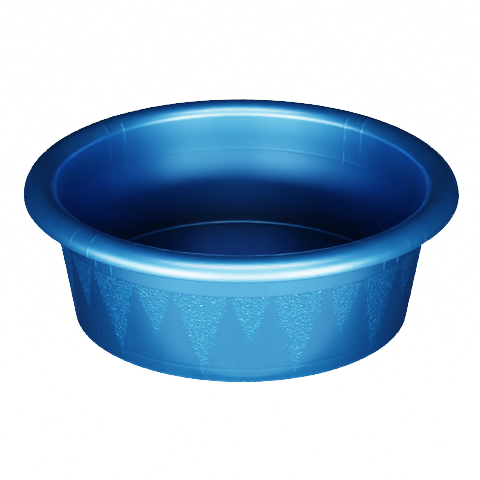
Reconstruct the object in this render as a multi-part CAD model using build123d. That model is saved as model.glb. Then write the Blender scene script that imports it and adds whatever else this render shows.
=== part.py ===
"""Round mixing tub, moulded in one piece: a drafted wall, a plain collar, a rolled
brim, a floor raised on a foot skirt, and pairs of ribs under the brim.

Millimetres, +Z up. The origin is on the tub's axis, level with the face it stands on.
The front is towards -Y.
"""

import os
from math import cos, pi, radians, sin, sqrt, tan

from build123d import *

# Overall sizes
RIM_DIAMETER = 400.0        # over the outer lip of the brim
HEIGHT = 135.4              # standing face to the crown of the brim

# Brim
BRIM_WIDTH = 30.0           # outer lip to the crease at the mouth, measured flat
BRIM_THICKNESS = 2.4
BRIM_INNER_LEAN = 24.4      # degrees short of a half circle at which the crown ends inside
LIP_SKIRT = 0.4             # straight run below the crown's arc, before the rounded lip edge
BRIM_ROOT_RADIUS = 1.2      # fillet where the brim's underside meets the collar

# Collar and wall
COLLAR_HEIGHT = 35.2        # ledge up to the crease at the mouth
COLLAR_DRAFT = 2.9          # degrees
COLLAR_THICKNESS = 3.0
WALL_DRAFT = 9.3            # degrees
WALL_THICKNESS = 2.4        # measured level, as every thickness of the wall is

# Floor and foot
FLOOR_HEIGHT = 15.6         # standing face to the top of the floor
FLOOR_THICKNESS = 2.6
FLOOR_CORNER_RADIUS = 3.0   # inside, wall to floor
FOOT_WIDTH = 2.6            # wall of the foot skirt at the standing face
FOOT_EDGE_RADIUS = 0.6
RECESS_DRAFT = 1.0          # degrees, inside of the foot skirt
RECESS_CORNER_RADIUS = 2.0  # skirt to the underside of the floor
GATE_DIAMETER = 14.0        # moulding gate's dimple in the middle of the underside
GATE_DEPTH = 0.6

# Ribs under the brim, in pairs
RIB_PAIR_ANGLES = (48.0, 138.0)  # degrees from the front, on both sides
RIB_PAIR_SPREAD = 6.6            # degrees between the two ribs of a pair
RIB_THICKNESS = 1.6
RIB_LIP_GAP = 7.5                # rib's outer end to the inside of the lip
RIB_FOOT_REACH = 1.2             # how far the rib's lower run stands off the collar at its top
RIB_FOOT_END = 0.25              # the same at the rib's lower end, where it dies out
RIB_FOOT_GAP = 1.0               # rib's lower end above the ledge

# Rim and brim arc
rim_radius = RIM_DIAMETER / 2
mouth_radius = rim_radius - BRIM_WIDTH
lean = radians(BRIM_INNER_LEAN)
crown_radius = BRIM_WIDTH / (1 + cos(lean))
under_radius = crown_radius - BRIM_THICKNESS
arc_r = rim_radius - crown_radius
arc_z = HEIGHT - crown_radius
crease_z = arc_z + crown_radius * sin(lean)
ledge_z = crease_z - COLLAR_HEIGHT
lip_edge_radius = BRIM_THICKNESS / 2
lip_z = arc_z - LIP_SKIRT


def collar_inside(z):
    """Radius of the collar's inner face at a height."""
    return mouth_radius - (crease_z - z) * tan(radians(COLLAR_DRAFT))


def collar_outside(z):
    """Radius of the collar's outer face at a height."""
    return collar_inside(z) + COLLAR_THICKNESS


def wall_inside(z):
    """Radius of the wall's inner face at a height."""
    return collar_inside(ledge_z) - (ledge_z - z) * tan(radians(WALL_DRAFT))


def wall_outside(z):
    """Radius of the wall's outer face at a height."""
    return wall_inside(z) + WALL_THICKNESS


def height_in_brim(r, radius):
    """Height, at a distance from the axis, of an arc that shares the brim's centre."""
    return arc_z + sqrt(radius**2 - (r - arc_r) ** 2)


def height_under_brim(r):
    """Height of the brim's underside at a distance from the axis."""
    return height_in_brim(r, under_radius)


def brim_root_height():
    """Height at which the collar's outer face runs into the brim's underside."""
    low, high = arc_z, arc_z + under_radius
    for _ in range(60):
        middle = (low + high) / 2
        if arc_r - sqrt(under_radius**2 - (middle - arc_z) ** 2) < collar_outside(middle):
            low = middle
        else:
            high = middle
    return low


def tub_section():
    """Closed half section of the tub in the XZ plane, X being the radius."""
    root_z = brim_root_height()
    recess_radius = wall_outside(0) - FOOT_WIDTH
    recess_z = FLOOR_HEIGHT - FLOOR_THICKNESS
    recess_top_radius = recess_radius - recess_z * tan(radians(RECESS_DRAFT))
    inside_crown = (arc_r - crown_radius * cos(lean), crease_z)
    outside_crown = (arc_r + crown_radius, arc_z)
    inside_under = (collar_outside(root_z), root_z)
    outside_under = (arc_r + under_radius, arc_z)

    with BuildSketch(Plane.XZ) as section:
        with BuildLine():
            Polyline(
                (0, FLOOR_HEIGHT),
                (wall_inside(FLOOR_HEIGHT), FLOOR_HEIGHT),
                (wall_inside(ledge_z), ledge_z),
                inside_crown,
            )
            ThreePointArc(inside_crown, (arc_r, HEIGHT), outside_crown)
            Line(outside_crown, (rim_radius, lip_z))
            ThreePointArc(
                (rim_radius, lip_z),
                (rim_radius - lip_edge_radius, lip_z - lip_edge_radius),
                (rim_radius - BRIM_THICKNESS, lip_z),
            )
            Line((rim_radius - BRIM_THICKNESS, lip_z), outside_under)
            ThreePointArc(outside_under, (arc_r, arc_z + under_radius), inside_under)
            Polyline(
                inside_under,
                (collar_outside(ledge_z), ledge_z),
                (wall_outside(ledge_z), ledge_z),
                (wall_outside(0), 0),
                (recess_radius, 0),
                (recess_top_radius, recess_z),
                (0, recess_z),
                (0, FLOOR_HEIGHT),
            )
        make_face()
        round_corner(section, wall_inside(FLOOR_HEIGHT), FLOOR_HEIGHT, FLOOR_CORNER_RADIUS)
        round_corner(section, recess_top_radius, recess_z, RECESS_CORNER_RADIUS)
        round_corner(section, wall_outside(0), 0, FOOT_EDGE_RADIUS)
        round_corner(section, recess_radius, 0, FOOT_EDGE_RADIUS)
        round_corner(section, *inside_under, BRIM_ROOT_RADIUS)
    return section.sketch


def round_corner(section, r, z, radius):
    """Fillet the section's corner at a radius and height."""
    corner = Vector(r, z, 0)
    nearest = min(section.vertices(), key=lambda vertex: (Vector(*vertex) - corner).length)
    fillet(nearest, radius)


def rib_blade():
    """One rib in the XZ plane, its hidden edges in the middle of the collar and brim."""
    foot_z = ledge_z + RIB_FOOT_GAP
    root_z = brim_root_height()
    half_collar = COLLAR_THICKNESS / 2
    middle_radius = (crown_radius + under_radius) / 2
    end_r = rim_radius - BRIM_THICKNESS - RIB_LIP_GAP
    end_z = height_under_brim(end_r)
    hollow_radius = end_r - collar_outside(root_z) - RIB_FOOT_REACH
    start_r = collar_inside(arc_z) + half_collar
    between_r = (start_r + end_r) / 2
    hidden_start = (start_r, height_in_brim(start_r, middle_radius))
    hidden_middle = (between_r, height_in_brim(between_r, middle_radius))
    hidden_end = (end_r, height_in_brim(end_r, middle_radius))
    hollow_start = (end_r - hollow_radius, end_z - hollow_radius)
    hollow_middle = (end_r - hollow_radius * cos(pi / 4), end_z - hollow_radius * (1 - sin(pi / 4)))
    foot = (collar_outside(foot_z) + RIB_FOOT_END, foot_z)

    with BuildSketch(Plane.XZ) as blade:
        with BuildLine():
            Polyline(hollow_start, foot, (collar_inside(foot_z) + half_collar, foot_z), hidden_start)
            ThreePointArc(hidden_start, hidden_middle, hidden_end)
            Line(hidden_end, (end_r, end_z))
            ThreePointArc((end_r, end_z), hollow_middle, hollow_start)
        make_face()
    return extrude(blade.sketch, amount=RIB_THICKNESS / 2, both=True)


def rib_angles():
    """Turn of each rib about Z, from the blade's place on +X."""
    pairs = [side * angle for side in (-1, 1) for angle in RIB_PAIR_ANGLES]
    return [pair + half - 90 for pair in pairs for half in (-RIB_PAIR_SPREAD / 2, RIB_PAIR_SPREAD / 2)]


def make_tub():
    """The whole moulding as one solid."""
    tub = revolve(tub_section(), axis=Axis.Z, revolution_arc=360)
    blade = rib_blade()
    for angle in rib_angles():
        tub += Rot(0, 0, angle) * blade
    tub -= Pos(0, 0, FLOOR_HEIGHT - FLOOR_THICKNESS) * Cylinder(
        GATE_DIAMETER / 2, GATE_DEPTH, align=(Align.CENTER, Align.CENTER, Align.MIN)
    )
    return tub


def main():
    """Build the tub and write its file."""
    os.makedirs("parts", exist_ok=True)
    tub = make_tub()
    export_step(tub.solids()[0], "parts/tub.step")
    print("volume cm3", round(tub.volume / 1000, 1), "solids", len(tub.solids()))
    print("ledge height", round(ledge_z, 2), "crease height", round(crease_z, 2))
    print("radius at the foot", round(wall_outside(0), 2))


main()
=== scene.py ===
"""Models a round moulded mixing tub: its shell, the ribs under its brim, the mould's
parting lines and the stippled icicles round its wall, on a pale studio floor."""

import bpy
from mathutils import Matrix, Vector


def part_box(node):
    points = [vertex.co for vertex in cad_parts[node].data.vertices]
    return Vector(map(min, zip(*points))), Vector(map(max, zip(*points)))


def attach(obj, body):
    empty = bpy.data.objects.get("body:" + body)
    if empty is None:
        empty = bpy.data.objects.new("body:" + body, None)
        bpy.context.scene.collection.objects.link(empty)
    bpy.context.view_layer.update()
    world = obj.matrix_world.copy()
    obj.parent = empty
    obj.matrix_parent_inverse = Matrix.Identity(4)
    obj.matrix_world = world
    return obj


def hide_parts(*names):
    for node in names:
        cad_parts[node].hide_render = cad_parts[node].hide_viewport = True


bl_info = {
    "name": "Round Mixing Tub",
    "version": (1, 0, 0),
    "blender": (4, 5, 0),
    "location": "View3D > Sidebar > Mixing Tub",
    "description": "Models a round plastic tub with a rolled brim and a stippled wall",
    "category": "Object",
}

import math
import random

import bpy
from bpy.props import FloatProperty, FloatVectorProperty, IntProperty, PointerProperty
from mathutils import Matrix, Vector, noise

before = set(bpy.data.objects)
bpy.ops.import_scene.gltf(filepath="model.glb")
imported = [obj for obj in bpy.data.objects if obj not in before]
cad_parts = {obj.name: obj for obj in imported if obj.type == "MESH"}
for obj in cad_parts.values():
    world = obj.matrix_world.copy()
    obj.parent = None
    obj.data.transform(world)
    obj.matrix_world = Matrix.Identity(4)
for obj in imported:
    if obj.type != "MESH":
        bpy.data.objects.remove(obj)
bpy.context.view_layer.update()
TUB_LOW, TUB_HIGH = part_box("tub")
BODY = "root"

MM = 0.001
AXIS = (0.0, 0.0, 1.0)
CENTRE = (0.0, 0.0, 0.0)
MERGE_DISTANCE = 1e-6
ROUNDING = 0.002 * MM  # room for rounding errors between the shell and the CAD box
RIM_RADIUS = min(TUB_HIGH.x, TUB_HIGH.y, -TUB_LOW.x, -TUB_LOW.y) - ROUNDING


# ---------------------------------------------------------------- sizes and colours


def length(name, description, default):
    """A length property in metres."""
    return FloatProperty(
        name=name, description=description, default=default, unit="LENGTH", precision=4
    )


def angle(name, description, degrees):
    """An angle property, given in degrees and held in radians."""
    return FloatProperty(
        name=name, description=description, default=math.radians(degrees), subtype="ANGLE"
    )


def amount(name, description, default):
    """A plain number property."""
    return FloatProperty(name=name, description=description, default=default, precision=3)


def colour(name, description, default):
    """A linear colour property."""
    return FloatVectorProperty(
        name=name, description=description, default=default, size=3, subtype="COLOR", min=0, max=1
    )


class TubSizes(bpy.types.PropertyGroup):
    """Sizes of the moulding."""

    rim_radius: length("Rim radius", "Axis to the outer lip of the brim", RIM_RADIUS)
    height: length("Height", "Standing face to the crown of the brim", TUB_HIGH.z)
    brim_width: length("Brim width", "Outer lip to the crease at the mouth", 30 * MM)
    brim_thickness: length("Brim thickness", "Wall of the brim", 2.4 * MM)
    brim_lean: angle("Brim lean", "How far short of a half circle the crown ends inside", 24.4)
    lip_skirt: length("Lip skirt", "Straight run under the crown's arc", 0.4 * MM)
    collar_height: length("Collar height", "Ledge to the crease at the mouth", 35.2 * MM)
    collar_draft: angle("Collar draft", "Lean of the collar", 2.9)
    collar_thickness: length("Collar thickness", "Wall of the collar", 3.0 * MM)
    wall_draft: angle("Wall draft", "Lean of the wall below the ledge", 9.3)
    wall_thickness: length("Wall thickness", "Wall below the ledge", 2.4 * MM)
    floor_height: length("Floor height", "Standing face to the top of the floor", 15.6 * MM)
    floor_thickness: length("Floor thickness", "Thickness of the floor", 2.6 * MM)
    floor_corner: length("Floor corner", "Radius from the wall to the floor inside", 3.0 * MM)
    bend_radius: length("Bend radius", "Soft bend inside, level with the ledge", 220 * MM)
    mouth_radius: length("Mouth radius", "Soft bend from the collar into the crown", 10 * MM)
    foot_width: length("Foot width", "Wall of the foot at the standing face", 2.6 * MM)
    edge_radius: length("Edge radius", "Rounding of the mould's sharp edges", 0.6 * MM)
    ledge_edge: length("Ledge edge", "Rounding of the collar's lower edge", 0.12 * MM)
    ledge_corner: length("Ledge corner", "Rounding where the ledge meets the wall", 0.15 * MM)
    recess_corner: length("Recess corner", "Radius from the foot to the recess", 2.0 * MM)
    recess_draft: angle("Recess draft", "Lean of the foot's inner face", 1)
    gate_radius: length("Gate radius", "Radius of the moulding gate's dimple", 7.0 * MM)
    gate_slope: length("Gate slope", "Width of the dimple's sloping side", 0.2 * MM)
    gate_depth: length("Gate depth", "Depth of the moulding gate's dimple", 0.6 * MM)
    segments: IntProperty(name="Segments", description="Steps round the tub", default=360, min=24)


class RibSizes(bpy.types.PropertyGroup):
    """Sizes of the ribs under the brim and of the mould's parting lines."""

    thickness: length("Thickness", "Thickness of one rib", 1.6 * MM)
    lip_gap: length("Lip gap", "Rib's outer end to the inside of the lip", 7.5 * MM)
    foot_reach: length("Foot reach", "A rib's stand off the collar under its hollow", 1.2 * MM)
    foot_end: length("Foot end", "A rib's stand off the collar at its lower end", 0.25 * MM)
    foot_gap: length("Foot gap", "Rib's lower end above the ledge", 1.0 * MM)
    front_pair: angle("Front pairs", "Turn of the front pairs from the front", 48)
    back_pair: angle("Back pairs", "Turn of the back pairs from the front", 138)
    spread: angle("Spread", "Turn between the two ribs of a pair", 6.6)
    edge: length("Edge", "Bevel of a rib's edges", 0.3 * MM)
    slides: IntProperty(
        name="Slides", description="Side slides of the mould, each pair meeting in a line", default=4
    )
    first_seam: angle("First parting line", "Turn of the first line from the front", 45)
    seam_width: length("Seam width", "Width of a parting line", 0.7 * MM)
    seam_height: length("Seam height", "How far a parting line stands off the wall", 0.12 * MM)
    line_core: length("Line core", "Half width of a witness line's middle", 0.2 * MM)
    line_edge: length("Line edge", "Half width of a witness line with its faded edge", 2.0 * MM)
    line_height: length("Line height", "How far a witness line seems to stand up", 0.20 * MM)


class StippleSizes(bpy.types.PropertyGroup):
    """Sizes of the stippled icicles."""

    pairs: IntProperty(
        name="Pairs", description="Long and short icicles round the wall", default=12, min=1
    )
    long_turn: angle("Long width", "Turn that a long icicle covers at the ledge", 17.0)
    short_turn: angle("Short width", "Turn that a short icicle covers at the ledge", 12.5)
    long_length: length("Long length", "Ledge to a long icicle's tip", 80 * MM)
    short_length: length("Short length", "Ledge to a short icicle's tip", 47 * MM)
    cell: length("Cell", "Mesh size of the stippled skin", 0.62 * MM)
    grain: length("Grain", "Size of one grain of stipple", 1.05 * MM)
    relief: length("Relief", "How far the tallest grain stands off the wall", 0.50 * MM)
    fringe: length("Fringe", "Size of the ragged patches along an icicle's edge", 3.0 * MM)
    sink: length("Sink", "How far the skin lies under the wall between grains", 0.11 * MM)
    backing: length("Backing", "Thickness of the skin behind the grains", 0.8 * MM)
    headroom: length("Headroom", "Ledge to the skin's upper edge", 0.6 * MM)
    top_fade: length("Top fade", "Height over which the grains fade in under the ledge", 1.5 * MM)


class TubColours(bpy.types.PropertyGroup):
    """Colours of the plastic, and a painted shade for its inside, as linear values."""

    body: colour("Body", "Blue pearl plastic", (0.019, 0.128, 0.330))
    # Pale also paints a highlight along the witness lines.
    pale: colour("Pale", "Where the pearl flakes gather", (0.032, 0.185, 0.425))
    deep: colour("Deep", "Where the pearl flakes are few", (0.012, 0.092, 0.255))
    # Floor is a painted shade: a dark colour laid over the floor and the lower wall inside, where
    # shade falls.
    floor: colour("Floor", "Dull, scuffed floor inside", (0.005, 0.032, 0.070))


class PlasticFinish(bpy.types.PropertyGroup):
    """Gloss of the plastic and depths of its fine marks."""

    pearl: amount("Pearl", "How far the flakes act as metal", 0.9)
    roughness: amount("Roughness", "Roughness of the smooth plastic", 0.42)
    coat: amount("Coat", "Strength of the clear skin over the flakes", 0.8)
    coat_roughness: amount("Coat roughness", "Roughness of the clear skin", 0.32)
    etched_roughness: amount("Etched roughness", "Least roughness of the stippled plastic", 0.38)
    etched_coat: amount("Etched coat", "Strength of the clear skin over the stipple", 0.6)
    etched_coat_roughness: amount("Etched coat roughness", "Roughness of that skin", 0.28)
    coat_ior: amount("Coat IOR", "Index of refraction of the clear skin", 1.6)
    plastic_ior: amount("Plastic IOR", "Index of refraction of the plastic", 1.49)
    streak_depth: length("Streak depth", "Depth of the flow streaks", 0.10 * MM)
    sink_depth: length("Sink depth", "Depth of the sink line level with the floor", 0.10 * MM)
    ring_depth: length("Ring depth", "Depth of the ring inside, level with the ledge", 0.06 * MM)
    peel_depth: length("Peel depth", "Depth of the mould's faint orange peel", 0.012 * MM)
    etch_depth: length("Etch depth", "Depth of the etching on each grain", 0.03 * MM)


class StageSettings(bpy.types.PropertyGroup):
    """Camera, floor and lights."""

    camera_elevation: angle("Camera elevation", "Height of the camera over the level", 24.54)
    camera_turn: angle("Camera turn", "Turn of the camera from the tub's front", -2.75)
    camera_roll: angle("Camera roll", "Tilt of the camera about its own axis", 0.14)
    camera_distance: length("Camera distance", "Camera to the point it looks at", 2.257)
    aim_height: length("Aim height", "Height of the point the camera looks at", 0.0675)
    aim_aside: length("Aim aside", "How far left of the axis the camera looks", 0.0011)
    lens: FloatProperty(name="Lens", description="Focal length in millimetres", default=182.4)
    floor_half: length("Floor half width", "Half the width of the floor", 30.0)
    lit_height: length("Lit height", "Height of the point the lights face", 0.8 * TUB_HIGH.z)
    card_height: length("Card height", "Height of the glowing cards over the floor", 3 * MM)
    surround: amount("Surround", "Brightness of the even surroundings", 0.02)
    backdrop: amount("Backdrop", "Brightness of the backdrop and the floor as seen", 14.0)


# ---------------------------------------------------------------- modelling helpers


def deselect_objects():
    """Leave nothing selected, because operators act on all that is."""
    bpy.ops.object.select_all(action="DESELECT")


def polar(radius, turn, height):
    """A point at a radius and height, turned from the front towards the right."""
    return Vector((radius * math.sin(turn), -radius * math.cos(turn), height))


def draw_chain(name, points):
    """Draw edges through points by walking one vertex along them, and stay in edit mode."""
    deselect_objects()
    bpy.ops.mesh.primitive_plane_add(size=MM, location=points[0])
    piece = bpy.context.active_object
    piece.name = name
    piece.data.name = name
    bpy.ops.object.transform_apply(location=True, rotation=True, scale=True)
    bpy.ops.object.mode_set(mode="EDIT")
    bpy.ops.mesh.select_all(action="SELECT")
    bpy.ops.mesh.merge(type="CENTER")
    for start, end in zip(points, points[1:]):
        bpy.ops.mesh.extrude_vertices_move(TRANSFORM_OT_translate={"value": end - start})
    return piece


def spin_chain(steps, turn):
    """Spin the chain being edited about the tub's axis, from front to right, into a skin."""
    bpy.ops.mesh.select_all(action="SELECT")
    bpy.ops.mesh.spin(steps=steps, angle=-turn, center=CENTRE, axis=AXIS)
    bpy.ops.mesh.select_all(action="SELECT")
    bpy.ops.mesh.remove_doubles(threshold=MERGE_DISTANCE)


def apply_modifier(piece, kind, **settings):
    """Add one modifier with its settings and apply it."""
    modifier = piece.modifiers.new(kind.title(), kind)
    for key, value in settings.items():
        setattr(modifier, key, value)
    bpy.ops.object.modifier_apply(modifier=modifier.name)


def finish_piece(piece, material, edge_degrees=35):
    """Shade a piece, give it its material and let it ride on the tub's body."""
    deselect_objects()
    piece.select_set(True)
    bpy.context.view_layer.objects.active = piece
    bpy.ops.object.shade_smooth_by_angle(angle=math.radians(edge_degrees))
    piece.data.materials.clear()
    piece.data.materials.append(material)
    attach(piece, BODY)


def arc(centre_r, centre_z, radius, start, end, steps):
    """Points (radius, height) along a round stretch, angles in degrees."""
    points = []
    for i in range(steps + 1):
        at = math.radians(start + (end - start) * i / steps)
        points.append((centre_r + radius * math.cos(at), centre_z + radius * math.sin(at)))
    return points


def corner(before, at, after, radius, steps=5):
    """Round a corner of an outline: points (radius, height) from one side to the other."""
    at = Vector(at)
    back = (Vector(before) - at).normalized()
    ahead = (Vector(after) - at).normalized()
    half = back.angle(ahead) / 2
    reach = radius / math.tan(half)
    middle = at + (back + ahead).normalized() * radius / math.sin(half)
    start = at + back * reach - middle
    end = at + ahead * reach - middle
    sweep = start.angle_signed(end)
    turned = []
    for i in range(steps + 1):
        turn = Matrix.Rotation(-sweep * i / steps, 2)
        turned.append(tuple(middle + turn @ start))
    return turned


def with_supports(points, reach=1.2 * MM, shortest=5 * MM):
    """Add a point just inside each end of a long straight run, so that its shading stays flat."""
    supported = [points[0]]
    for start, end in zip(points, points[1:]):
        run = Vector(end) - Vector(start)
        if run.length > shortest:
            step = run.normalized() * reach
            supported.append(tuple(Vector(start) + step))
            supported.append(tuple(Vector(end) - step))
        supported.append(end)
    return supported


# ---------------------------------------------------------------- the tub's outline


class Outline:
    """Radii and heights of the tub's half section, worked out from its sizes."""

    def __init__(self, sizes):
        self.sizes = sizes
        lean = sizes.brim_lean
        self.mouth_radius = sizes.rim_radius - sizes.brim_width
        self.crown_radius = sizes.brim_width / (1 + math.cos(lean))
        self.under_radius = self.crown_radius - sizes.brim_thickness
        self.arc_r = sizes.rim_radius - self.crown_radius
        self.arc_z = sizes.height - self.crown_radius
        self.crease_z = self.arc_z + self.crown_radius * math.sin(lean)
        self.ledge_z = self.crease_z - sizes.collar_height
        self.recess_z = sizes.floor_height - sizes.floor_thickness
        self.root_z = self.brim_root()

    def collar_inside(self, z):
        """Radius of the collar's inner face at a height."""
        return self.mouth_radius - (self.crease_z - z) * math.tan(self.sizes.collar_draft)

    def collar_outside(self, z):
        """Radius of the collar's outer face at a height."""
        return self.collar_inside(z) + self.sizes.collar_thickness

    def wall_inside(self, z):
        """Radius of the wall's inner face at a height."""
        lean = math.tan(self.sizes.wall_draft)
        return self.collar_inside(self.ledge_z) - (self.ledge_z - z) * lean

    def wall_outside(self, z):
        """Radius of the wall's outer face at a height."""
        return self.wall_inside(z) + self.sizes.wall_thickness

    def under_brim(self, r):
        """Height of the brim's underside at a radius."""
        return self.arc_z + math.sqrt(self.under_radius**2 - (r - self.arc_r) ** 2)

    def brim_root(self):
        """Height at which the collar's outer face runs into the brim's underside."""
        low, high = self.arc_z, self.arc_z + self.under_radius
        for _ in range(50):
            middle = (low + high) / 2
            across = math.sqrt(self.under_radius**2 - (middle - self.arc_z) ** 2)
            if self.arc_r - across < self.collar_outside(middle):
                low = middle
            else:
                high = middle
        return low

    def section(self):
        """The closed half section, from the floor's centre over the brim to the underside's."""
        s = self.sizes
        top, under, ledge = s.floor_height, self.recess_z, self.ledge_z
        floor_edge = (self.wall_inside(top), top)
        inner_bend = (self.wall_inside(ledge), ledge)
        crease = (self.mouth_radius, self.crease_z)
        collar_top = (self.collar_outside(self.root_z), self.root_z)
        collar_foot = (self.collar_outside(ledge), ledge)
        ledge_in = (self.wall_outside(ledge), ledge)
        foot_out = (self.wall_outside(0), 0)
        foot_in = (foot_out[0] - s.foot_width, 0)
        recess = (foot_in[0] - under * math.tan(s.recess_draft), under)
        lean = math.degrees(s.brim_lean)
        lip = s.brim_thickness / 2
        lip_z = self.arc_z - s.lip_skirt
        under_end = math.degrees(math.atan2(self.root_z - self.arc_z, collar_top[0] - self.arc_r))
        bend_steps = 4  # steps of the crown that the soft bend at the mouth takes up
        crown = arc(self.arc_r, self.arc_z, self.crown_radius, 180 - lean, 0, 44)[bend_steps:]
        underside = arc(self.arc_r, self.arc_z, self.under_radius, 0, under_end, 36)

        outline = [(0, top)]
        outline += corner((0, top), floor_edge, inner_bend, s.floor_corner, 9)
        outline += corner(floor_edge, inner_bend, crease, s.bend_radius, 8)
        outline += corner(inner_bend, crease, crown[0], s.mouth_radius, 8)
        outline += crown
        outline += arc(s.rim_radius - lip, lip_z, lip, 0, -180, 12)
        outline += underside[:-2]
        outline += corner(underside[-3], collar_top, collar_foot, 2 * s.edge_radius, 5)
        outline += corner(collar_top, collar_foot, ledge_in, s.ledge_edge, 3)
        outline += corner(collar_foot, ledge_in, foot_out, s.ledge_corner, 3)
        outline += corner(ledge_in, foot_out, foot_in, s.edge_radius, 5)
        outline += corner(foot_out, foot_in, recess, s.edge_radius, 5)
        outline += corner(foot_in, recess, (0, under), s.recess_corner, 7)
        outline += [(s.gate_radius, under), (s.gate_radius - s.gate_slope, under + s.gate_depth)]
        outline += [(0, under + s.gate_depth)]
        return with_supports(outline)


# ---------------------------------------------------------------- finishes


class Amount:
    """One number in a material, so that shader maths reads as Python."""

    def __init__(self, finish, socket):
        self.finish = finish
        self.socket = socket

    def maths(self, operation, *values):
        """A Math node on this and other amounts or numbers."""
        node = self.finish.add("ShaderNodeMath", {"operation": operation}, dict(enumerate(values)))
        return Amount(self.finish, node.outputs[0])

    def __add__(self, other):
        return self.maths("ADD", self, other)

    def __radd__(self, other):
        return self.maths("ADD", other, self)

    def __sub__(self, other):
        return self.maths("SUBTRACT", self, other)

    def __rsub__(self, other):
        return self.maths("SUBTRACT", other, self)

    def __mul__(self, other):
        return self.maths("MULTIPLY", self, other)

    def __rmul__(self, other):
        return self.maths("MULTIPLY", other, self)

    def clamped(self):
        """This amount, kept between 0 and 1."""
        return self.maths("MAXIMUM", self.maths("MINIMUM", self, 1.0), 0.0)

    def size(self):
        """This amount without its sign."""
        return self.maths("ABSOLUTE", self)

    def ramp(self, low, high):
        """Rises smoothly from 0 at low to 1 at high."""
        settings = {"interpolation_type": "SMOOTHSTEP"}
        values = {"Value": self, "From Min": low, "From Max": high}
        node = self.finish.add("ShaderNodeMapRange", settings, values)
        return Amount(self.finish, node.outputs["Result"])


class Finish:
    """A material being built, node by node."""

    def __init__(self, name):
        self.material = bpy.data.materials.new(name)
        self.material.use_nodes = True
        self.tree = self.material.node_tree
        self.tree.nodes.clear()
        self.place = self.add("ShaderNodeTexCoord").outputs["Object"]

    def add(self, kind, settings=None, values=None):
        """A node of a kind: its settings first, then the values or links of its sockets."""
        node = self.tree.nodes.new(kind)
        for key, value in (settings or {}).items():
            setattr(node, key, value)
        for key, value in (values or {}).items():
            if isinstance(value, Amount):
                value = value.socket
            if isinstance(value, bpy.types.NodeSocket):
                self.tree.links.new(value, node.inputs[key])
            else:
                node.inputs[key].default_value = value
        return node

    def axes(self):
        """The three coordinates of the surface."""
        parts = self.add("ShaderNodeSeparateXYZ", values={0: self.place})
        return [Amount(self, parts.outputs[i]) for i in range(3)]

    def stretched(self, x, y, z):
        """The surface's coordinates scaled along each axis."""
        values = {"Vector": self.place, "Scale": (x, y, z)}
        return self.add("ShaderNodeMapping", values=values).outputs[0]

    def noise(self, scale, detail=2.0, roughness=0.5, place=None):
        """Soft noise from 0 to 1; the scale is in grains a metre."""
        values = {"Vector": place or self.place, "Scale": scale}
        values |= {"Detail": detail, "Roughness": roughness}
        return Amount(self, self.add("ShaderNodeTexNoise", values=values).outputs[0])

    def cells(self, scale):
        """A random number in each cell, from 0 to 1; the scale is in cells a metre."""
        node = self.add("ShaderNodeTexVoronoi", values={"Vector": self.place, "Scale": scale})
        return Amount(self, node.outputs["Color"])

    def blend(self, factor, first, second):
        """A colour between two colours."""
        settings = {"data_type": "RGBA"}
        values = {"Factor": factor, 6: first, 7: second}
        return self.add("ShaderNodeMix", settings, values).outputs[2]

    def bump(self, height, distance, strength=1.0, normal=None):
        """A bumped normal; the distance in metres is what a height of 1 stands for."""
        values = {"Height": height, "Distance": distance, "Strength": strength}
        if normal is not None:
            values["Normal"] = normal
        return self.add("ShaderNodeBump", values=values).outputs[0]

    def close(self, **values):
        """The shader and the material's output."""
        named = {key.replace("_", " "): value for key, value in values.items()}
        shader = self.add("ShaderNodeBsdfPrincipled", values=named)
        self.add("ShaderNodeOutputMaterial", values={"Surface": shader.outputs[0]})
        return self.material


def rgba(value):
    """A property's colour as four numbers."""
    return (*value, 1.0)


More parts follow.
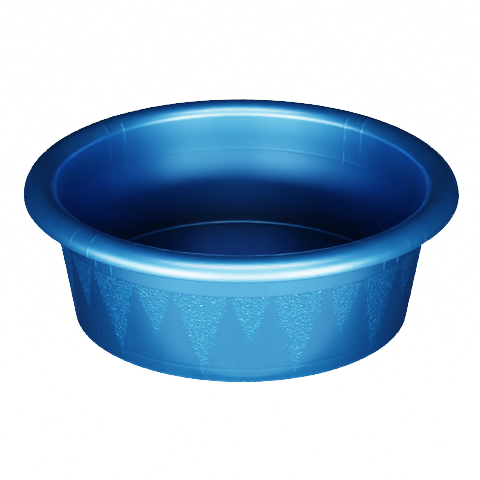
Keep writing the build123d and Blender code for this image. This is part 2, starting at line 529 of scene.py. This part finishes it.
def pearl_blue(scene, outline):
    """Blue plastic with pearl flakes, smooth from the mould, with painted shade on the lower inside
    and a painted highlight along the witness lines.
    """
    colours, gloss = scene.tub_colours, scene.plastic_finish
    finish = Finish("pearl_blue_plastic")
    x, y, z = finish.axes()
    radius = x.maths("SQRT", x * x + y * y)

    flow = finish.noise(9, 3, 0.55, finish.stretched(1, 1, 0.35))
    sparkle = (finish.cells(1900) - 0.5) * 0.22
    clouding = ((flow - 0.5) * 0.9 + 0.5 + sparkle).clamped()
    body = finish.blend(clouding, rgba(colours.deep), rgba(colours.pale))
    body = finish.blend(0.55, body, rgba(colours.body))

    witness_line_and_highlight = witness_lines(finish, x, y, z, scene.rib_sizes, outline)
    # Painted highlight: the witness lines are blended towards the pale colour so that they read
    # lighter; their real relief is the bump further down.
    body = finish.blend(witness_line_and_highlight * 0.7, body, rgba(colours.pale))

    inside = inner_skin(radius, z, outline)
    floor_z = outline.sizes.floor_height
    dull = inside * (1 - z.ramp(floor_z + 1 * MM, floor_z + 5 * MM))
    # Painted shade: the inside turns towards the dark floor colour, darker towards the bottom, from
    # just under the floor to 54 mm over it.
    painted_shade_and_patches = inside * (1 - z.ramp(floor_z - 10 * MM, floor_z + 54 * MM))
    body = finish.blend(painted_shade_and_patches, body, rgba(colours.floor))

    streaks = finish.noise(55, 3, 0.6, finish.stretched(1, 1, 0.08))
    peel = finish.noise(420, 2, 0.5)
    scuffs = finish.noise(130, 6, 0.7, finish.stretched(1, 1, 0.3)).ramp(0.56, 0.72)
    foot_wear = (1 - z.ramp(0.0, 4 * MM)) * finish.noise(300, 4, 0.6).ramp(0.35, 0.6)
    roughness = gloss.roughness + (streaks - 0.5) * 0.08 + scuffs * 0.05
    roughness = roughness + foot_wear * 0.2 + dull * 0.12

    sink_z = outline.recess_z + 1.5 * MM
    ring_z = outline.ledge_z - 0.6 * MM
    sink_line = (z - sink_z).size().ramp(0.0, 2.6 * MM)
    ring = 1 - (z - ring_z).size().ramp(0.2 * MM, 1.8 * MM)
    normal = finish.bump(streaks, gloss.streak_depth, 0.6)
    normal = finish.bump(sink_line, gloss.sink_depth, 1.0, normal)
    normal = finish.bump(ring, gloss.ring_depth, 1.0, normal)
    normal = finish.bump(peel, gloss.peel_depth, 0.8, normal)
    normal = finish.bump(witness_line_and_highlight, scene.rib_sizes.line_height, 1.0, normal)
    return finish.close(
        Base_Color=body, Metallic=gloss.pearl, Roughness=roughness, Normal=normal,
        Coat_Weight=gloss.coat - dull * 0.65, Coat_Roughness=gloss.coat_roughness,
        Coat_IOR=gloss.coat_ior, IOR=gloss.plastic_ior,
    )


def inner_skin(radius, z, outline):
    """1 on the floor and the wall inside, 0 outside and under the floor."""
    floor_z = outline.sizes.floor_height
    edge = outline.wall_inside(floor_z)
    along_wall = radius - (z - floor_z) * math.tan(outline.sizes.wall_draft)
    within = 1 - along_wall.ramp(edge + 0.6 * MM, edge + 1.6 * MM)
    return within * z.ramp(outline.recess_z, floor_z)


def witness_lines(finish, x, y, z, ribs, outline):
    """Soft lines where the ribs under the brim show through it and through the collar: a mask that
    raises a faint relief and, blended with the pale colour, paints a highlight along each line.
    """
    turn = x.maths("ARCTAN2", x.size(), 0 - y)
    radius = x.maths("SQRT", x * x + y * y)
    line = None
    for pair in (ribs.front_pair, ribs.back_pair):
        for side in (-0.5, 0.5):
            away = (turn - (pair + side * ribs.spread)).size() * radius
            one = 1 - away.ramp(ribs.line_core, ribs.line_edge)
            line = one if line is None else line + one
    down = z.ramp(outline.ledge_z - 18 * MM, outline.ledge_z + 6 * MM)
    # Patches that break each line up, fading its relief and its painted highlight alike.
    painted_shade_and_patches = finish.noise(90, 2, 0.5).ramp(0.3, 0.6)
    return line.clamped() * down * painted_shade_and_patches


def stippled_blue(scene):
    """The same plastic where the mould is etched, so that it is paler and less glossy."""
    colours, gloss = scene.tub_colours, scene.plastic_finish
    finish = Finish("stippled_blue_plastic")
    grain = finish.noise(800, 2, 0.6)
    body = finish.blend(grain.ramp(0.3, 0.7), rgba(colours.body), rgba(colours.pale))
    normal = finish.bump(grain, gloss.etch_depth, 0.7)
    return finish.close(
        Base_Color=body, Metallic=gloss.pearl, Normal=normal,
        Roughness=gloss.etched_roughness + grain * 0.12, Coat_Weight=gloss.etched_coat,
        Coat_Roughness=gloss.etched_coat_roughness, Coat_IOR=gloss.coat_ior, IOR=gloss.plastic_ior,
    )


def floor_paper(glow):
    """Pale matt studio paper that glows evenly."""
    finish = Finish("studio_paper")
    tone = finish.noise(2, 2, 0.5)
    body = finish.blend(tone, (0.80, 0.80, 0.80, 1), (0.84, 0.84, 0.84, 1))
    return finish.close(
        Base_Color=body, Roughness=0.9, Emission_Color=(1, 1, 1, 1), Emission_Strength=glow
    )


def finish_named(name, build):
    """A material that is built once and then shared."""
    return bpy.data.materials.get(name) or build()


def tub_plastic(scene):
    """The smooth plastic, for the shell, ribs and parting lines."""
    outline = Outline(scene.tub_sizes)
    return finish_named("pearl_blue_plastic", lambda: pearl_blue(scene, outline))


# ---------------------------------------------------------------- pieces


class MIXINGTUB_OT_shell(bpy.types.Operator):
    """Draw the tub's half section and spin it into the moulded shell"""

    bl_idname = "mixingtub.shell"
    bl_label = "Model Shell"

    def execute(self, context):
        outline = Outline(context.scene.tub_sizes)
        points = [polar(r, 0, z) for r, z in outline.section()]
        shell = draw_chain("tub_shell", points)
        spin_chain(outline.sizes.segments, 2 * math.pi)
        bpy.ops.mesh.normals_make_consistent(inside=False)
        bpy.ops.object.mode_set(mode="OBJECT")
        finish_piece(shell, tub_plastic(context.scene), 40)
        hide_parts("tub")
        return {"FINISHED"}


class MIXINGTUB_OT_ribs(bpy.types.Operator):
    """Model one rib under the brim and copy it to each place in its pairs"""

    bl_idname = "mixingtub.ribs"
    bl_label = "Model Brim Ribs"

    def execute(self, context):
        ribs = context.scene.rib_sizes
        outline = Outline(context.scene.tub_sizes)
        blade = self.model_blade(ribs, outline)
        turns = [
            side * (pair + half * ribs.spread)
            for side in (-1, 1)
            for pair in (ribs.front_pair, ribs.back_pair)
            for half in (-0.5, 0.5)
        ]
        for number, turn in enumerate(turns, 1):
            rib = blade.copy()
            rib.data = blade.data.copy()
            rib.name = f"brim_rib_{number}"
            rib.data.name = rib.name
            context.collection.objects.link(rib)
            rib.data.transform(Matrix.Rotation(turn, 4, "Z"))
            finish_piece(rib, tub_plastic(context.scene), 30)
        bpy.data.objects.remove(blade)
        return {"FINISHED"}

    def model_blade(self, ribs, outline):
        """One rib facing the front, its hidden edges in the middle of the collar and the brim."""
        foot_z = outline.ledge_z + ribs.foot_gap
        half_collar = outline.sizes.collar_thickness / 2
        middle = (outline.crown_radius + outline.under_radius) / 2
        end_r = outline.sizes.rim_radius - outline.sizes.brim_thickness - ribs.lip_gap
        end_z = outline.under_brim(end_r)
        hollow = end_r - outline.collar_outside(outline.root_z) - ribs.foot_reach
        start_r = outline.collar_inside(outline.arc_z) + half_collar
        start = math.degrees(math.acos((start_r - outline.arc_r) / middle))
        end = math.degrees(math.acos((end_r - outline.arc_r) / middle))
        foot = (outline.collar_outside(foot_z) + ribs.foot_end, foot_z)

        edge = [foot, (outline.collar_inside(foot_z) + half_collar, foot_z)]
        edge += arc(outline.arc_r, outline.arc_z, middle, start, end, 10)
        edge += arc(end_r, end_z - hollow, hollow, 90, 180, 12)
        points = [polar(r, 0, z) for r, z in edge + [foot]]
        blade = draw_chain("rib_blade", points)
        bpy.ops.mesh.select_all(action="SELECT")
        bpy.ops.mesh.remove_doubles(threshold=MERGE_DISTANCE)
        bpy.ops.mesh.select_all(action="SELECT")
        bpy.ops.mesh.edge_face_add()
        bpy.ops.mesh.extrude_region_move(TRANSFORM_OT_translate={"value": (ribs.thickness, 0, 0)})
        bpy.ops.mesh.select_all(action="SELECT")
        bpy.ops.transform.translate(value=(-ribs.thickness / 2, 0, 0))
        bpy.ops.mesh.normals_make_consistent(inside=False)
        bpy.ops.object.mode_set(mode="OBJECT")
        apply_modifier(blade, "BEVEL", width=ribs.edge, segments=2, limit_method="ANGLE")
        return blade


class MIXINGTUB_OT_seams(bpy.types.Operator):
    """Model the fine vertical lines where the mould's side slides meet"""

    bl_idname = "mixingtub.seams"
    bl_label = "Model Parting Lines"

    def execute(self, context):
        ribs = context.scene.rib_sizes
        outline = Outline(context.scene.tub_sizes)
        for number in range(ribs.slides):
            turn = ribs.first_seam + 2 * math.pi * number / ribs.slides
            foot = outline.sizes.edge_radius
            wall = [(outline.wall_outside(z), z) for z in (foot, outline.ledge_z)]
            self.model_seam(context, f"parting_line_{number + 1}", wall, turn, ribs)
        return {"FINISHED"}

    def model_seam(self, context, name, line, turn, ribs):
        """One raised line along the wall, its back sunk in the plastic."""
        radius = line[0][0]
        width = ribs.seam_width / radius
        points = [polar(r, turn - width / 2, z) for r, z in line]
        seam = draw_chain(name, points)
        spin_chain(2, width)
        bpy.ops.mesh.normals_make_consistent(inside=False)
        bpy.ops.object.mode_set(mode="OBJECT")
        outwards = polar(1, turn, 0)
        for vertex in seam.data.vertices:
            across = vertex.co.xy.normalized().cross(outwards.xy.normalized())
            if abs(across) < width / 4:
                vertex.co += outwards * ribs.seam_height
        face_outwards(seam)
        apply_modifier(seam, "SOLIDIFY", thickness=4 * ribs.seam_height, offset=-1)
        finish_piece(seam, tub_plastic(context.scene), 60)


def face_outwards(piece):
    """Turn an open skin's faces away from the tub's axis, and make it the active object."""
    deselect_objects()
    piece.select_set(True)
    bpy.context.view_layer.objects.active = piece
    face = piece.data.polygons[len(piece.data.polygons) // 2]
    if face.normal.xy.dot(face.center.xy) < 0:
        bpy.ops.object.mode_set(mode="EDIT")
        bpy.ops.mesh.select_all(action="SELECT")
        bpy.ops.mesh.flip_normals()
        bpy.ops.object.mode_set(mode="OBJECT")


class Icicle:
    """One icicle's place and outline on the wall, hanging from the ledge to a tip."""

    side_margin = 1.3  # the skin's width over the icicle's own
    tip_margin = 1.06  # the skin's length over the icicle's own
    bow = 0.9  # below 1, so that the sides bow outwards
    cut_depth = -0.24  # where the skin ends, past the outline
    raggedness = 0.16  # how far noise shifts the outline
    fade = 0.14  # depth over which the grains fade out at the edge

    def __init__(self, turn, width, reach, top):
        self.turn = turn
        self.width = width
        self.reach = reach
        self.top = top

    def depth(self, point):
        """How deep a point lies inside: 1 on the middle line at the ledge, 0 on the outline."""
        down = (self.top - point.z) / self.reach
        aside = math.atan2(point.x, -point.y) - self.turn
        aside = abs((aside + math.pi) % (2 * math.pi) - math.pi)
        half = self.width / 2 * max(1 - down, 0.0) ** self.bow
        return (half - aside) / (self.width / 2)

    def weight(self, point, stipple):
        """How far the grains rise at a point: 0 past the ragged outline and at the ledge."""
        depth = self.depth(point) + self.raggedness * noise.noise(point / stipple.fringe)
        edge = min(max((depth + self.fade / 2) / self.fade, 0.0), 1.0)
        return edge * min((self.top - point.z) / stipple.top_fade, 1.0)


class MIXINGTUB_OT_icicles(bpy.types.Operator):
    """Model the stippled icicles that hang from the ledge, long and short in turn"""

    bl_idname = "mixingtub.icicles"
    bl_label = "Model Stippled Icicles"

    def execute(self, context):
        scene = context.scene
        stipple = scene.stipple_sizes
        outline = Outline(scene.tub_sizes)
        dice = random.Random(7)
        material = finish_named("stippled_blue_plastic", lambda: stippled_blue(scene))
        grains = self.grain_texture(stipple)
        kinds = (
            # kind, place in a step, width, length, least and most share of the length
            ("short", 0.0, stipple.short_turn, stipple.short_length, (1.00, 1.06)),
            ("long", 0.5, stipple.long_turn, stipple.long_length, (0.99, 1.05)),
        )
        step = 2 * math.pi / stipple.pairs
        top = outline.ledge_z - stipple.headroom
        for number in range(stipple.pairs):
            for kind, place, width, reach, limits in kinds:
                icicle = Icicle((number + place) * step, width, reach * dice.uniform(*limits), top)
                name = f"icicle_{kind}_{number + 1:02d}"
                self.model_icicle(name, icicle, stipple, outline, grains, material)
        return {"FINISHED"}

    def grain_texture(self, stipple):
        """Soft noise whose peaks are the grains."""
        grains = bpy.data.textures.new("stipple_grains", "CLOUDS")
        grains.noise_scale = stipple.grain
        grains.noise_depth = 1
        grains.noise_basis = "IMPROVED_PERLIN"
        return grains

    def model_icicle(self, name, icicle, stipple, outline, grains, material):
        """A skin under the wall, whose grains rise through it inside the icicle's outline."""
        width = icicle.width * icicle.side_margin
        reach = icicle.reach * icicle.tip_margin
        rows = round(reach / stipple.cell)
        columns = round(width * outline.wall_outside(icicle.top) / stipple.cell)
        points = []
        for i in range(rows + 1):
            z = icicle.top - reach * i / rows
            points.append(polar(outline.wall_outside(z) - stipple.sink, icicle.turn - width / 2, z))
        skin = draw_chain(name, points)
        spin_chain(columns, width)
        self.cut_to_outline(skin, icicle)
        face_outwards(skin)
        self.weigh_outline(skin, icicle, stipple)
        noise_middle, noise_reach = 0.42, 0.33
        apply_modifier(
            skin, "DISPLACE", texture=grains, texture_coords="LOCAL", vertex_group="inside",
            mid_level=noise_middle, strength=(stipple.relief + stipple.sink) / noise_reach,
        )
        apply_modifier(skin, "SOLIDIFY", thickness=stipple.backing, offset=-1)
        finish_piece(skin, material, 180)

    def cut_to_outline(self, skin, icicle):
        """Delete the skin outside the icicle's outline."""
        bpy.ops.mesh.select_all(action="DESELECT")
        bpy.ops.object.mode_set(mode="OBJECT")
        for face in skin.data.polygons:
            face.select = icicle.depth(face.center) < icicle.cut_depth
        bpy.ops.object.mode_set(mode="EDIT")
        bpy.ops.mesh.select_mode(type="FACE")
        bpy.ops.mesh.delete(type="FACE")
        bpy.ops.mesh.select_mode(type="VERT")
        bpy.ops.mesh.select_all(action="SELECT")
        bpy.ops.mesh.normals_make_consistent(inside=False)
        bpy.ops.object.mode_set(mode="OBJECT")

    def weigh_outline(self, skin, icicle, stipple):
        """Note at every vertex how far the grains rise there."""
        group = skin.vertex_groups.new(name="inside")
        for vertex in skin.data.vertices:
            group.add([vertex.index], icicle.weight(vertex.co, stipple), "REPLACE")


# ---------------------------------------------------------------- stage


LIGHTS = (
    # name, turn, elevation, distance, size, power: degrees, metres and watts
    ("left_side_band", -60, 7, 1.9, (0.8, 0.46), 18.0),
    ("left_band", -30, 6, 1.9, (0.9, 0.46), 88.0),
    ("front_band", 0, 6, 1.9, (0.8, 0.46), 28.0),
    ("right_band", 30, 6, 1.9, (0.9, 0.46), 82.0),
    ("low_fill", 0, 26, 1.9, (1.7, 0.5), 8.0),
    ("high_fill", 0, 44, 1.8, (1.6, 0.4), 6.0),
    ("rim_strip", 0, 61, 1.7, (1.5, 0.14), 38.0),
)
CARDS = (
    # name, x, y, size, power
    ("front_card", -0.04, -0.44, (0.90, 0.56), 0.94),
    ("back_card", 0.0, 0.42, (0.40, 0.40), 0.40),
)


class MIXINGTUB_OT_stage(bpy.types.Operator):
    """Lay the pale floor and set the soft lights and the camera"""

    bl_idname = "mixingtub.stage"
    bl_label = "Set Stage"

    def execute(self, context):
        stage = context.scene.stage_settings
        self.lay_floor(stage)
        for name, *values in LIGHTS:
            self.light(stage, name, *values)
        for name, *values in CARDS:
            self.card(stage, name, *values)
        self.set_world(context.scene, stage)
        self.set_camera(context.scene, stage)
        context.scene.view_settings.view_transform = "Filmic"
        context.scene.view_settings.look = "Very High Contrast"
        return {"FINISHED"}

    def lay_floor(self, stage):
        """A wide pale floor under the tub, which neither lights it nor shows in its gloss."""
        deselect_objects()
        size = 2 * stage.floor_half
        bpy.ops.mesh.primitive_grid_add(x_subdivisions=12, y_subdivisions=12, size=size)
        floor = bpy.context.active_object
        floor.name = "studio_floor"
        floor.data.materials.append(floor_paper(stage.backdrop))
        floor.visible_glossy = False
        floor.visible_diffuse = False

    def lamp(self, name, size, power, place):
        """A soft rectangular light that isn't seen itself."""
        lamp = bpy.data.lights.new(name, "AREA")
        lamp.shape = "RECTANGLE"
        lamp.size, lamp.size_y = size
        lamp.energy = power
        holder = bpy.data.objects.new(name, lamp)
        bpy.context.collection.objects.link(holder)
        holder.location = place
        holder.visible_camera = False
        return holder

    def light(self, stage, name, turn, elevation, distance, size, power):
        """A light that faces the tub from afar; angles in degrees."""
        elevation = math.radians(elevation)
        level = distance * math.cos(elevation)
        aim = Vector((0, 0, stage.lit_height))
        place = aim + polar(level, math.radians(turn), distance * math.sin(elevation))
        holder = self.lamp(name, size, power, place)
        holder.rotation_euler = (aim - place).to_track_quat("-Z", "Y").to_euler()

    def card(self, stage, name, x, y, size, power):
        """A glowing card that lies on the floor and throws light up at the wall."""
        holder = self.lamp(name, size, power, (x, y, stage.card_height))
        holder.rotation_euler = (math.pi, 0, 0)

    def set_world(self, scene, stage):
        """Dim, even surroundings, and a pale backdrop behind the floor."""
        world = bpy.data.worlds.new("studio")
        scene.world = world
        world.use_nodes = True
        nodes, links = world.node_tree.nodes, world.node_tree.links
        nodes.clear()
        seen = nodes.new("ShaderNodeLightPath").outputs["Is Camera Ray"]
        dim = nodes.new("ShaderNodeBackground")
        dim.inputs["Color"].default_value = (0.95, 0.97, 1.0, 1)
        dim.inputs["Strength"].default_value = stage.surround
        pale = nodes.new("ShaderNodeBackground")
        pale.inputs["Strength"].default_value = stage.backdrop
        mix = nodes.new("ShaderNodeMixShader")
        links.new(seen, mix.inputs[0])
        links.new(dim.outputs[0], mix.inputs[1])
        links.new(pale.outputs[0], mix.inputs[2])
        links.new(mix.outputs[0], nodes.new("ShaderNodeOutputWorld").inputs[0])

    def set_camera(self, scene, stage):
        """The camera at its distance, height and turn, aimed at the tub."""
        eye = bpy.data.cameras.new("camera")
        eye.lens = stage.lens
        eye.sensor_width = 36
        camera = bpy.data.objects.new("camera", eye)
        scene.collection.objects.link(camera)
        level = stage.camera_distance * math.cos(stage.camera_elevation)
        rise = stage.camera_distance * math.sin(stage.camera_elevation)
        left = Vector((-math.cos(stage.camera_turn), -math.sin(stage.camera_turn), 0))
        aim = Vector((0, 0, stage.aim_height)) + left * stage.aim_aside
        camera.location = aim + polar(level, stage.camera_turn, rise)
        look = (aim - camera.location).to_track_quat("-Z", "Y").to_matrix()
        camera.rotation_euler = (look @ Matrix.Rotation(stage.camera_roll, 3, "Z")).to_euler()
        scene.camera = camera


class MIXINGTUB_PT_panel(bpy.types.Panel):
    """Lists the tub's sizes and the steps that model it"""

    bl_idname = "MIXINGTUB_PT_panel"
    bl_label = "Mixing Tub"
    bl_space_type = "VIEW_3D"
    bl_region_type = "UI"
    bl_category = "Mixing Tub"

    def draw(self, context):
        for name in GROUPS:
            box = self.layout.box()
            group = getattr(context.scene, name)
            for key in group.bl_rna.properties.keys():
                if key not in ("rna_type", "name"):
                    box.prop(group, key)
        for operator in OPERATORS:
            self.layout.operator(operator.bl_idname)


GROUPS = {
    "tub_sizes": TubSizes,
    "rib_sizes": RibSizes,
    "stipple_sizes": StippleSizes,
    "tub_colours": TubColours,
    "plastic_finish": PlasticFinish,
    "stage_settings": StageSettings,
}
OPERATORS = (
    MIXINGTUB_OT_shell,
    MIXINGTUB_OT_ribs,
    MIXINGTUB_OT_seams,
    MIXINGTUB_OT_icicles,
    MIXINGTUB_OT_stage,
)


def register():
    """Register every class and attach the property groups to the scene."""
    for cls in (*GROUPS.values(), *OPERATORS, MIXINGTUB_PT_panel):
        bpy.utils.register_class(cls)
    for name, group in GROUPS.items():
        setattr(bpy.types.Scene, name, PointerProperty(type=group))


def unregister():
    """Take the property groups off the scene and unregister every class."""
    for name in GROUPS:
        delattr(bpy.types.Scene, name)
    for cls in reversed((*GROUPS.values(), *OPERATORS, MIXINGTUB_PT_panel)):
        bpy.utils.unregister_class(cls)


def main():
    """Model every piece in order."""
    register()
    bpy.ops.mixingtub.shell()
    bpy.ops.mixingtub.ribs()
    bpy.ops.mixingtub.seams()
    bpy.ops.mixingtub.icicles()
    bpy.ops.mixingtub.stage()


if __name__ == "__main__":
    main()
